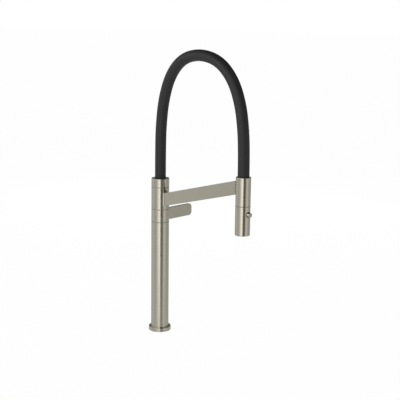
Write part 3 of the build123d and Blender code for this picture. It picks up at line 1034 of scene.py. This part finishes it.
@dataclass(frozen=True)
class HoseArch:
    """The rubber hose from the collar over the arch into the wand, with the spring and tube inside."""

    outer: float = 11.6
    bore: float = 8.6
    spring_middle: float = 7.6
    wire: float = 0.65
    spring_pitch: float = 3.6
    tube_outer: float = 6.5
    tube_bore: float = 4.2
    length: float = 0.633
    route: tuple[tuple[float, float], ...] = (
        (0.0, 326.0),
        (0.0, 384.0),
        (-1.0, 443.0),
        (-9.0, 503.0),
        (-29.0, 555.0),
        (-65.0, 590.0),
        (-115.0, 600.0),
        (-165.0, 589.0),
        (-202.0, 556.0),
        (-223.0, 510.0),
        (-232.0, 460.0),
        (-235.0, 409.0),
        (-235.0, 358.8),
    )
    rings: int = 300
    curve_steps: int = 40
    same_point: float = 1e-7
    sleeve_sides: int = 72
    inner_sides: int = 32
    wire_sides: int = 6
    steps_a_turn: int = 18
    spring_margin: float = 0.020

    def centreline(self) -> np.ndarray:
        """Points along the smooth spline that has the route as its control points.

        Returns:
            Evenly spaced points in metres, from the collar to the wand.
        """
        curve = bpy.data.curves.new("hose route", "CURVE")
        curve.dimensions = "3D"
        spline = curve.splines.new("NURBS")
        spline.points.add(len(self.route) - 1)
        for point, (y, z) in zip(spline.points, self.route):
            point.co = (0.0, y * MM, z * MM, 1.0)
        spline.order_u = 3
        spline.use_endpoint_u = True
        spline.resolution_u = self.curve_steps
        holder = put_in_scene("hose route", curve)
        mesh = bpy.data.meshes.new_from_object(holder)
        found = np.zeros(len(mesh.vertices) * 3)
        mesh.vertices.foreach_get("co", found)
        found = found.reshape(-1, 3)
        bpy.data.objects.remove(holder)
        bpy.data.meshes.remove(mesh)
        bpy.data.curves.remove(curve)
        steps = np.linalg.norm(np.diff(found, axis=0), axis=1)
        found = found[np.concatenate([[True], steps > self.same_point])]
        return points_along(found, np.linspace(0.0, travelled(found)[-1], self.rings))

    def directions(self, line: np.ndarray) -> tuple[np.ndarray, np.ndarray]:
        """The two directions across the line at each point: X, and the one square to it and the run.

        Args:
            line: The line's points.

        Returns:
            The two directions, each as a row for each point.
        """
        run = np.gradient(line, axis=0)
        run /= np.linalg.norm(run, axis=1)[:, None]
        across = np.tile(np.array([1.0, 0.0, 0.0]), (len(line), 1))
        return across, np.cross(run, across)

    def tube(self, line: np.ndarray, outer: float, bore: float, sides: int) -> Skin:
        """A tube along a line.

        A ring of radius r at line point p is p + r (cos a X + sin a N). The outside's rings go along
        the line and the bore's come back along it, so that both ends are closed.

        Args:
            line: The centreline's points.
            outer: The outside radius in millimetres.
            bore: The inside radius in millimetres.
            sides: How many points each ring has.

        Returns:
            The skin.
        """
        across, normal = self.directions(line)
        angle = np.linspace(0.0, 2 * np.pi, sides, endpoint=False)
        round_trip = np.concatenate([np.arange(len(line)), np.arange(len(line))[::-1]])
        radius = np.repeat([outer * MM, bore * MM], len(line))
        centre = line[round_trip][:, None, :]
        spoke = (
            np.cos(angle)[None, :, None] * across[round_trip][:, None, :]
            + np.sin(angle)[None, :, None] * normal[round_trip][:, None, :]
        )
        points = centre + radius[:, None, None] * spoke
        return Skin(points.reshape(-1, 3), grid_quads(len(round_trip), sides, True))

    def coil(self, line: np.ndarray) -> Skin:
        """The spring between the rubber and the inner tube.

        Its wire's centre goes round the line at a steady pitch: c(t) = p(t) + R (cos wt X + sin wt N).
        The wire is a small ring about c(t), in the plane of the spoke and the line's run.

        Args:
            line: The centreline's points.

        Returns:
            The skin.
        """
        start, stop = self.spring_margin, travelled(line)[-1] - self.spring_margin
        turns = (stop - start) / (self.spring_pitch * MM)
        count = int(turns * self.steps_a_turn)
        centre = points_along(line, np.linspace(start, stop, count))
        across, normal = self.directions(centre)
        run = np.cross(across, normal)
        phase = np.linspace(0.0, 2 * np.pi * turns, count)[:, None]
        spoke = np.cos(phase) * across + np.sin(phase) * normal
        middle = centre + self.spring_middle * MM * spoke
        sides = self.wire_sides
        angle = np.linspace(0.0, 2 * np.pi, sides, endpoint=False)[None, :, None]
        ring = np.cos(angle) * spoke[:, None, :] + np.sin(angle) * run[:, None, :]
        points = middle[:, None, :] + self.wire * MM * ring
        return Skin(points.reshape(-1, 3), grid_quads(count, sides, False), end_caps(count, sides))

    def hang(self, piece: bpy.types.Object, node: str, look: Look) -> None:
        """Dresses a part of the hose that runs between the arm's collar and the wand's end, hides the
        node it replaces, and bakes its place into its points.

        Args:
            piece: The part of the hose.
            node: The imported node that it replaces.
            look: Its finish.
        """
        dress(piece, look.material)
        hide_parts(node)
        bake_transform(piece)
        log.info("%s: %d points between arm and wand", piece.name, len(piece.data.vertices))

    def build(self, finishes: Finishes) -> None:
        """Args:
            finishes: The built finishes.
        """
        line = self.centreline()
        rubber = self.tube(line, self.outer, self.bore, self.sleeve_sides)
        water = self.tube(line[::3], self.tube_outer, self.tube_bore, self.inner_sides)
        sleeve = make_piece("hose_rubber_sleeve", rubber)
        spring = make_piece("hose_coil_spring", self.coil(line))
        inner = make_piece("hose_inner_tube", water)
        self.hang(sleeve, "hose_sleeve", finishes.rubber)
        self.hang(spring, "hose_spring", finishes.slots["steel"])
        self.hang(inner, "inner_hose", finishes.slots["inner_hose"])


# ---------------------------------------------------------------------------------------------
# The base, the column and the lever
# ---------------------------------------------------------------------------------------------


@dataclass(frozen=True)
class BaseAndColumn:
    """The flange on the deck and the long column tube."""

    radius: float = 19.0
    bore: float = 17.0
    top: float = 242.28
    flange_radius: float = 24.0
    flange_bore: float = 17.1
    flange_height: float = 8.5
    groove_inner: float = 19.5
    groove_outer: float = 22.5
    groove_depth: float = 1.6
    step: float = 3.0
    step_gap: float = 0.05

    def flange(self) -> Skin:
        """The round foot: a flat-topped ring with an eased rim and a groove for its seal below."""
        recess = self.radius + self.step_gap
        corners = (
            Corner(self.flange_bore, 0.0),
            Corner(self.groove_inner, 0.0),
            Corner(self.groove_inner, self.groove_depth),
            Corner(self.groove_outer, self.groove_depth),
            Corner(self.groove_outer, 0.0),
            Corner(self.flange_radius, 0.0, 0.25),
            Corner(self.flange_radius, self.flange_height, 0.8),
            Corner(recess, self.flange_height, 0.15),
            Corner(recess, self.step),
            Corner(self.flange_bore, self.step),
        )
        return turned_ring(corners)

    def build(self, finishes: Finishes) -> None:
        """Makes the flange and the column.

        Args:
            finishes: The built finishes.
        """
        fit("base_flange_shell", self.flange(), finishes.foot, Body.ROOT, "base_flange")
        column = plain_tube(self.radius, self.bore, self.step, self.top)
        fit("column_shell", column, finishes.column, Body.ROOT, "column_tube")


@dataclass(frozen=True)
class RingLever:
    """The lever: a ring round the column, with a flat paddle on its right."""

    radius: float = 19.0
    bore: float = 17.0
    low: float = 242.72
    high: float = 269.68
    paddle_top: float = 268.9
    root: float = 18.3
    tip: float = 92.6
    thickness: float = 5.0
    corner: float = 8.0
    ease: float = 0.6
    face_inset: float = 1.1
    corner_steps: int = 17
    edge_steps: int = 12

    def paddle_outline(self, inset: np.ndarray) -> np.ndarray:
        """The paddle's outline, drawn in from its edge.

        It runs along the bottom to the tip, round two quarter circles whose radius is the corner's
        less the inset, and back along the top; the root isn't drawn in.

        Args:
            inset: How far each outline is drawn in, in millimetres.

        Returns:
            For each inset, the outline's points as (along, up).
        """
        inset = inset[:, None]
        arc = self.corner - inset
        turn = np.linspace(-np.pi / 2, 0.0, self.corner_steps)[None, :]
        centre = np.array([self.tip - self.corner, self.low + self.corner])
        low_arc = centre + np.stack([arc * np.cos(turn), arc * np.sin(turn)], axis=-1)
        high_arc = np.stack([low_arc[..., 0], self.low + self.paddle_top - low_arc[..., 1]], axis=-1)
        high_arc = high_arc[:, ::-1]
        along = np.linspace(self.root, self.tip - self.corner, self.edge_steps)[None, :-1] + 0.0 * inset
        bottom = np.stack([along, self.low + inset + 0.0 * along], axis=-1)
        top = np.stack([along, self.paddle_top - inset + 0.0 * along], axis=-1)[:, ::-1]
        return np.concatenate([bottom, low_arc, high_arc, top], axis=1)

    def paddle(self) -> Skin:
        """The paddle as a stack of outlines across its thickness.

        From the front face to the back the outline is drawn in by e (1 - sin a) where it stands
        e (1 - cos a) short of the face, as a goes a quarter turn at each rim.
        """
        half = self.thickness / 2
        turn = np.linspace(0.0, np.pi / 2, 7)
        inset = np.concatenate([[self.face_inset], self.ease * (1 - np.sin(turn))])
        depth = np.concatenate([[half], half - self.ease * (1 - np.cos(turn))])
        inset = np.concatenate([inset, inset[::-1]])
        depth = np.concatenate([-depth, depth[::-1]])
        outline = self.paddle_outline(inset)
        y = np.repeat(depth[:, None], outline.shape[1], axis=1)
        points = np.stack([outline[..., 0], y, outline[..., 1]], axis=-1) * MM
        rows, columns = y.shape
        return Skin(points.reshape(-1, 3), grid_quads(rows, columns, False), end_caps(rows, columns))

    def build(self, finishes: Finishes) -> None:
        """Makes the ring and the paddle.

        Args:
            finishes: The built finishes.
        """
        ring = plain_tube(self.radius, self.bore, self.low, self.high)
        fit("lever_ring_shell", ring, finishes.column, Body.LEVER, "lever_ring")
        fit("lever_paddle_plate", self.paddle(), finishes.paddle, Body.LEVER, "lever_paddle")


# ---------------------------------------------------------------------------------------------
# The swivelling arm
# ---------------------------------------------------------------------------------------------


@dataclass(frozen=True)
class SwivelArm:
    """The hub round the column, the sloping bar, and the collar that the hose comes out of."""

    radius: float = 19.0
    hub_low: float = 270.12
    hub_high: float = 317.28
    collar_low: float = 317.72
    collar_top: float = 336.0
    collar_foot: float = 312.0
    socket: float = 11.9
    seat: float = 326.0
    hub_mouth: float = 17.3
    hub_top_bore: float = 15.0
    hub_steps: tuple[tuple[float, float], ...] = (
        (306.5, 14.3),
        (297.0, 13.0),
        (285.0, 14.0),
        (276.0, 17.3),
    )
    spigot: float = 14.9
    spigot_bore: float = 9.4
    width: float = 14.0
    axis_low: float = 273.5
    axis_top: float = 301.5
    fillet: float = 3.0
    rooted: float = 1.2
    ease: float = 0.8
    wand_clear: float = 16.0
    fillet_steps: int = 10
    fillet_gap: float = 0.4
    stations: tuple[float, ...] = (0.0, 0.25, 0.5, 0.75, 0.985, 1.0)

    def hub(self) -> Skin:
        """The hub's shell, with the steps inside it that hold the bushes."""
        corners = [
            Corner(self.hub_mouth, self.hub_low, INNER_EASE),
            Corner(self.radius, self.hub_low, SEAM_EASE),
            Corner(self.radius, self.hub_high, SEAM_EASE),
            Corner(self.hub_top_bore, self.hub_high, INNER_EASE),
        ]
        above = self.hub_top_bore
        for height, below in self.hub_steps:
            corners += [Corner(above, height), Corner(below, height)]
            above = below
        return turned_ring(tuple(corners))

    def collar(self) -> Skin:
        """The top collar, with an eased rim and the socket that holds the hose."""
        corners = (
            Corner(self.spigot_bore, self.collar_foot),
            Corner(self.spigot, self.collar_foot),
            Corner(self.spigot, self.collar_low),
            Corner(self.radius, self.collar_low, SEAM_EASE),
            Corner(self.radius, self.collar_top, 0.8),
            Corner(self.socket, self.collar_top, 0.7),
            Corner(self.socket, self.seat),
            Corner(self.spigot_bore, self.seat),
        )
        return turned_ring(corners)

    def half_section(self, half_width: np.ndarray) -> np.ndarray:
        """The lower half of the bar's section at each station: a flat bottom with two eased edges.

        Args:
            half_width: Half the bar's width at each station, in millimetres.

        Returns:
            For each station, points from the left side to the right as (across, above the bottom).
        """
        share = np.linspace(0.0, 1.0, 7)
        curve = self.ease * np.stack([(1 - share) ** 2, share**2], axis=-1)
        guard = 1.4 * self.ease
        corner = np.vstack([[0.0, guard], curve[::-1], [guard, 0.0]])
        inward = corner[:, 0] - half_width[:, None]
        left = np.stack([inward, np.broadcast_to(corner[:, 1], inward.shape)], axis=-1)
        right = left[:, ::-1].copy()
        right[..., 0] *= -1
        return np.concatenate([left, right], axis=1)

    def bar(self) -> Skin:
        """The sloping bar.

        Its section is a rectangle with eased edges, carried along -Y and raised by the slope as it
        goes. Where it leaves the hub its sides flare in a hollow fillet of radius f that touches the
        hub's circle R: half the width is w + f (1 - sin a) at y = f cos a - sqrt((R + f)^2 - (w + f)^2),
        and it starts a little inside the hub's wall. Its far end follows the round of the wand:
        y = -reach + sqrt(clear^2 - x^2).
        """
        half = self.width / 2
        middle = math.sqrt((self.radius + self.fillet) ** 2 - (half + self.fillet) ** 2)
        turn = np.linspace(math.atan2(half + self.fillet, middle), np.pi / 2, self.fillet_steps)
        flare = half + self.fillet * (1 - np.sin(turn))
        fillet = self.fillet * np.cos(turn) - middle
        straight = np.ones(len(self.stations))
        half_width = np.concatenate([flare[:1], flare, straight * half])
        along = np.concatenate([np.zeros(len(flare) + 1), self.stations])
        past = -middle - self.fillet_gap
        start = np.concatenate([fillet[:1] + self.rooted, fillet, straight * past])
        lower = self.half_section(half_width)
        x = np.concatenate([lower[..., 0], lower[:, ::-1, 0]], axis=1)
        far = -REACH + np.sqrt(self.wand_clear**2 - x**2)
        y = start[:, None] * (1 - along[:, None]) + far * along[:, None]
        rise = -y * math.tan(ARM_SLOPE)
        bottom = self.axis_low + lower[..., 1]
        top = self.axis_top - lower[:, ::-1, 1]
        z = np.concatenate([bottom, top], axis=1) + rise
        points = np.stack([x, y, z], axis=-1) * MM
        rows, columns = x.shape
        quads = grid_quads(rows, columns, False)
        half = columns // 2
        index = np.arange(half - 1)
        ends = []
        for first in (0, (rows - 1) * columns):
            matched = [index, index + 1, columns - 2 - index, columns - 1 - index]
            cap = first + np.stack(matched, axis=-1)
            ends.append(cap[:, ::-1] if first == 0 else cap)
        return Skin(points.reshape(-1, 3), np.vstack([quads, *ends]))

    def build(self, finishes: Finishes) -> None:
        """Makes the hub, the bar and the collar.

        Args:
            finishes: The built finishes.
        """
        fit("arm_hub_shell", self.hub(), finishes.column, Body.ARM, "arm_hub")
        fit("arm_bar_shell", self.bar(), finishes.arm, Body.ARM, "arm_bar")
        fit("top_collar_shell", self.collar(), finishes.column, Body.ARM, "top_collar")


# ---------------------------------------------------------------------------------------------
# The spray wand and its button
# ---------------------------------------------------------------------------------------------


@dataclass(frozen=True)
class SprayWand:
    """The wand: an upper sleeve, a spray head with a button hole, and the spray face below."""

    radius: float = 15.0
    bore: float = 13.2
    low: float = 253.3
    seam_low: float = 311.78
    seam_high: float = 312.22
    top: float = 368.8
    seat: float = 358.8
    socket: float = 11.9
    shoulder_bore: float = 9.2
    shoulder_low: float = 355.5
    lip: float = 12.4
    lip_depth: float = 1.8
    foot_ease: float = 0.9
    button_height: float = 296.0
    hole: float = 5.65
    hole_ease: float = 0.12
    hole_depth: float = 0.5
    columns: int = 144
    patch: int = 22
    inner_top: float = 259.9
    nozzles_round: int = 12
    nozzle_circle: float = 10.0
    nozzle_radius: float = 1.0
    nozzle_bore: float = 0.5
    aerator_radius: float = 7.0
    aerator_bore: float = 5.8
    aerator_top: float = 264.0
    bush_radius: float = 5.6
    bush_bore: float = 4.38
    bush_back: float = 9.0
    bush_front: float = 14.6
    bush_plain: float = 12.0
    bush_shaped: float = 14.0

    def sleeve(self) -> Skin:
        """The upper sleeve, whose top is turned in round the hose."""
        corners = (
            Corner(self.bore, self.seam_high, INNER_EASE),
            Corner(self.radius, self.seam_high, SEAM_EASE),
            Corner(self.radius, self.top, 0.7),
            Corner(self.socket, self.top, 0.6),
            Corner(self.socket, self.seat),
            Corner(self.shoulder_bore, self.seat),
            Corner(self.shoulder_bore, self.shoulder_low),
            Corner(self.bore, self.shoulder_low),
        )
        return moved(turned_ring(corners), y=-REACH)

    def wall_rows(self, radius: float) -> np.ndarray:
        """Even rows up a wall beside the button hole, spaced as the columns are.

        Args:
            radius: The wall's radius.

        Returns:
            Rows of (radius, height) in millimetres.
        """
        reach = self.patch // 2 + 1
        heights = self.button_height + self.row_step() * np.arange(-reach, reach + 1)
        return np.stack([np.full(len(heights), radius), heights], axis=-1)

    def row_step(self) -> float:
        """The distance between two columns round the outside, and between two rows beside the hole."""
        return 2 * math.pi * self.radius / self.columns

    def head_rows(self) -> np.ndarray:
        """The head's closed outline as (radius, height): down the bore, round the lip, and up the wall.

        The rows beside the button hole are spaced as the columns are, so that the hole's patch is
        square.
        """
        shelf = self.low + self.lip_depth
        lip = (
            Corner(self.bore, self.button_height),
            Corner(self.bore, shelf),
            Corner(self.lip, shelf),
            Corner(self.lip, self.low, 0.25),
            Corner(self.radius, self.low, self.foot_ease),
            Corner(self.radius, self.button_height),
        )
        rim = (
            Corner(self.radius, self.button_height),
            Corner(self.radius, self.seam_low, SEAM_EASE),
            Corner(self.bore, self.seam_low),
        )
        parts = [
            self.wall_rows(self.bore)[::-1],
            eased_outline(lip, closed=False)[1:-1],
            self.wall_rows(self.radius),
            eased_outline(rim, closed=False)[1:],
        ]
        return np.vstack(parts)

    def hole_rings(self, radius: float, hole: float, shares: list[float]) -> np.ndarray:
        """Rings of points on a wall between the square patch's edge and the round hole.

        With the turn a and the height h of each point, a = (1 - t) a_edge + t asin(x / R) and
        h = (1 - t) h_edge + t z, where (x, z) lies on the hole's circle at the edge point's angle.

        Args:
            radius: The wall's radius.
            hole: The circle's radius.
            shares: How far each ring is from the edge, at 0, to the circle, at 1.

        Returns:
            For each ring, its points as (x, y, z) in millimetres.
        """
        column, row = self.patch_edge()
        around = np.arctan2(row, column)
        share = np.array(shares)[:, None]
        edge = column * 2 * np.pi / self.columns
        turn = (1 - share) * edge + share * np.arcsin(hole * np.cos(around) / radius)
        height = (1 - share) * row * self.row_step() + share * hole * np.sin(around)
        x, y = radius * np.sin(turn), -radius * np.cos(turn)
        return np.stack([x, y, self.button_height + height], axis=-1)

    def patch_edge(self) -> tuple[np.ndarray, np.ndarray]:
        """The steps from the patch's middle to each point of its edge: columns across and rows up."""
        reach = self.patch // 2
        span, end = np.arange(-reach, reach), np.full(self.patch, reach)
        return np.concatenate([span, end, -span, -end]), np.concatenate([-end, span, end, -span])

    def head(self) -> Skin:
        """The spray head, a turned shell with a round hole through its front for the button.

        The walls are grids over angle and height. The square patch of cells in front is left out of
        both, and a ladder of rings joins the two edges: over the outer wall to the hole's eased rim,
        straight in through the wall, and over the inner wall to its own edge.
        """
        rows = self.head_rows()
        skin = turned(rows, loop=True, turns=self.columns)
        reach = self.patch // 2
        front = 3 * self.columns // 4
        quad_row, quad_column = np.divmod(np.arange(len(skin.quads)), self.columns)
        across = (quad_column >= front - reach) & (quad_column < front + reach)
        kept = np.full(len(skin.quads), True)
        column, row = self.patch_edge()
        edges = []
        for radius, upward in ((self.radius, 1), (self.bore, -1)):
            middle = int(np.argmin(np.abs(rows - np.array([radius, self.button_height])).sum(axis=1)))
            kept &= ~(across & (quad_row >= middle - reach) & (quad_row < middle + reach))
            edges.append((middle + upward * row) * self.columns + front + column)
        rim = self.hole_rings(self.radius, self.hole, [1.0])
        rings = [
            self.hole_rings(self.radius, self.hole + self.hole_ease, [0.3, 0.6, 0.85, 1.0]),
            rim + np.array([0.0, self.hole_ease, 0.0]),
            rim + np.array([0.0, self.hole_depth, 0.0]),
            self.hole_rings(self.bore, self.hole, [1.0, 0.6, 0.3]),
        ]
        ring = np.concatenate(rings)
        count, around = ring.shape[:2]
        numbers = len(skin.points) + np.arange(count * around).reshape(count, around)
        ladder = np.vstack([edges[0][None, :], numbers, edges[1][None, :]])
        near, far = ladder[:-1], ladder[1:]
        strips = np.stack([near, np.roll(near, -1, axis=1), np.roll(far, -1, axis=1), far], axis=-1)
        points = np.vstack([skin.points, ring.reshape(-1, 3) * MM])
        return moved(Skin(points, np.vstack([skin.quads[kept], strips.reshape(-1, 4)])), y=-REACH)

    def nozzles(self) -> Skin:
        """The ring of twelve soft nozzles, each a small turned tube with a rounded tip."""
        corners = (
            Corner(self.nozzle_bore, self.low + 1.2, 0.1),
            Corner(self.nozzle_radius, self.low + 1.2, 0.25),
            Corner(self.nozzle_radius, self.inner_top),
            Corner(self.nozzle_bore, self.inner_top),
        )
        one = turned_ring(corners, turns=20, steps=3)
        count = np.arange(self.nozzles_round)
        angle = count * 2 * np.pi / self.nozzles_round
        places = self.nozzle_circle * np.stack([np.cos(angle), np.sin(angle), 0.0 * angle], axis=-1) * MM
        points = one.points + places[:, None, :]
        quads = one.quads + count[:, None, None] * len(one.points)
        return moved(Skin(points.reshape(-1, 3), quads.reshape(-1, 4)), y=-REACH)

    def aerator(self) -> Skin:
        """The aerator's round housing, with an eased mouth."""
        corners = (
            Corner(self.aerator_bore, self.low + 1.0, 0.3),
            Corner(self.aerator_radius, self.low + 1.0, 0.3),
            Corner(self.aerator_radius, self.aerator_top),
            Corner(self.aerator_bore, self.aerator_top),
        )
        return moved(turned_ring(corners, turns=96), y=-REACH)

    def guide(self) -> Skin:
        """The black bush round the button, whose front follows the round of the head.

        It is a tube along -Y. A point at its front is drawn back by F - sqrt(F^2 - x^2), where F is how
        far the front stands from the wand's axis, and points further back by less, down to nothing.
        """
        corners = (
            Corner(self.bush_bore, self.bush_back),
            Corner(self.bush_radius, self.bush_back),
            Corner(self.bush_radius, self.bush_front, 0.12),
            Corner(self.bush_bore, self.bush_front, 0.12),
        )
        bush = laid_forward(turned_ring(corners, turns=72, steps=3))
        x, y, z = bush.points.T
        front = self.bush_front * MM
        fall = front - np.sqrt(front**2 - x**2)
        share = np.clip((-y / MM - self.bush_plain) / (self.bush_shaped - self.bush_plain), 0.0, 1.0)
        points = np.stack([x, y + fall * share, z], axis=-1)
        return moved(Skin(points, bush.quads), y=-REACH, z=self.button_height)

    def build(self, finishes: Finishes) -> None:
        """Makes the wand's outside, its spray face and the button's bush.

        Args:
            finishes: The built finishes.
        """
        silicone, black = finishes.slots["nozzle_silicone"], finishes.slots["black_plastic"]
        fit("wand_sleeve_shell", self.sleeve(), finishes.wand, Body.WAND, "wand_sleeve")
        fit("spray_head_shell", self.head(), finishes.wand, Body.WAND, "spray_head")
        fit("spray_nozzle_ring", self.nozzles(), silicone, Body.WAND, "spray_nozzles")
        fit("aerator_mouth", self.aerator(), black, Body.WAND, "aerator_housing")
        fit("button_bush", self.guide(), black, Body.WAND, "button_guide")


@dataclass(frozen=True)
class DiverterButton:
    """The round button on the wand's front that changes the spray, and the spring behind it."""

    radius: float = 4.3
    front: float = 21.0
    back: float = 7.4
    flange: float = 5.2
    flange_front: float = 8.9
    height: float = 296.0
    coil_radius: float = 4.8
    coil_back: float = 1.95
    coil_length: float = 5.0
    coil_steps: int = 24
    wire: float = 0.4
    wire_sides: int = 8
    turns: int = 4
    stroke: float = 3.0

    def cap(self) -> Skin:
        """The button, turned about its own axis, with a rounded rim and a barely hollow face."""
        corners = (
            Corner(0.05, self.front - 0.12),
            Corner(1.8, self.front - 0.10, 0.5),
            Corner(self.radius - 0.5, self.front, 0.2),
            Corner(self.radius, self.front - 0.35, 0.24),
            Corner(self.radius, self.flange_front),
            Corner(self.flange, self.flange_front),
            Corner(self.flange, self.back),
            Corner(0.05, self.back),
        )
        solid = turned(eased_outline(corners, closed=False), loop=False, turns=72)
        return moved(laid_forward(solid), y=-REACH, z=self.height)

    def coil(self) -> Skin:
        """The spring between the wand's core and the button's flange.

        The wire's centre is (R cos wt, -t, R sin wt), and the wire is a ring of radius w about it in
        the plane of the spoke and Y: ((R + w cos b) cos wt, -t - w sin b, (R + w cos b) sin wt).
        """
        count, sides = self.coil_steps * self.turns, self.wire_sides
        phase = np.linspace(0.0, 2 * np.pi * self.turns, count)[:, None]
        around = np.linspace(0.0, 2 * np.pi, sides, endpoint=False)[None, :]
        spoke = self.coil_radius + self.wire * np.cos(around)
        run = self.coil_back + self.coil_length * phase / phase[-1]
        y = -run - self.wire * np.sin(around)
        points = np.stack([spoke * np.cos(phase), y, spoke * np.sin(phase)], axis=-1).reshape(-1, 3) * MM
        wound = Skin(points, grid_quads(count, sides, False), end_caps(count, sides))
        return moved(wound, y=-REACH, z=self.height)

    def build(self, finishes: Finishes) -> None:
        """Makes the button and its spring, and gives the spring a mesh of its own.

        Args:
            finishes: The built finishes.
        """
        fit("button_cap", self.cap(), finishes.button, Body.BUTTON, "diverter_button")
        steel = finishes.slots["steel"]
        spring = fit("button_coil_spring", self.coil(), steel, Body.WAND, "button_spring")
        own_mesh(spring)


# ---------------------------------------------------------------------------------------------
# The parts inside
# ---------------------------------------------------------------------------------------------


def dress_inner_parts(finishes: Finishes) -> None:
    """Gives every node that still shows the finish of its material slot in the record.

    Args:
        finishes: The built finishes.
    """
    slots = {part["node"]: part["material_slot"] for part in frame["record"]["subparts"]}
    for name, node in frame["nodes"].items():
        slot = slots.get(name)
        if node.hide_render or slot not in finishes.slots:
            continue
        material = finishes.slots[slot].material
        for place in node.material_slots:
            place.material = material
        if not node.material_slots:
            node.data.materials.append(material)
        log.info("%s: dressed as %s", name, slot)


def main() -> None:
    """Builds the studio, the faucet's pieces and their finishes, in order."""
    logging.basicConfig(level=logging.INFO, format="%(name)s: %(message)s")
    StudioCamera().build()
    finishes = Finishes()
    HoseArch().build(finishes)
    BaseAndColumn().build(finishes)
    RingLever().build(finishes)
    SwivelArm().build(finishes)
    SprayWand().build(finishes)
    DiverterButton().build(finishes)
    dress_inner_parts(finishes)
    Studio().build()


if __name__ == "__main__":
    main()
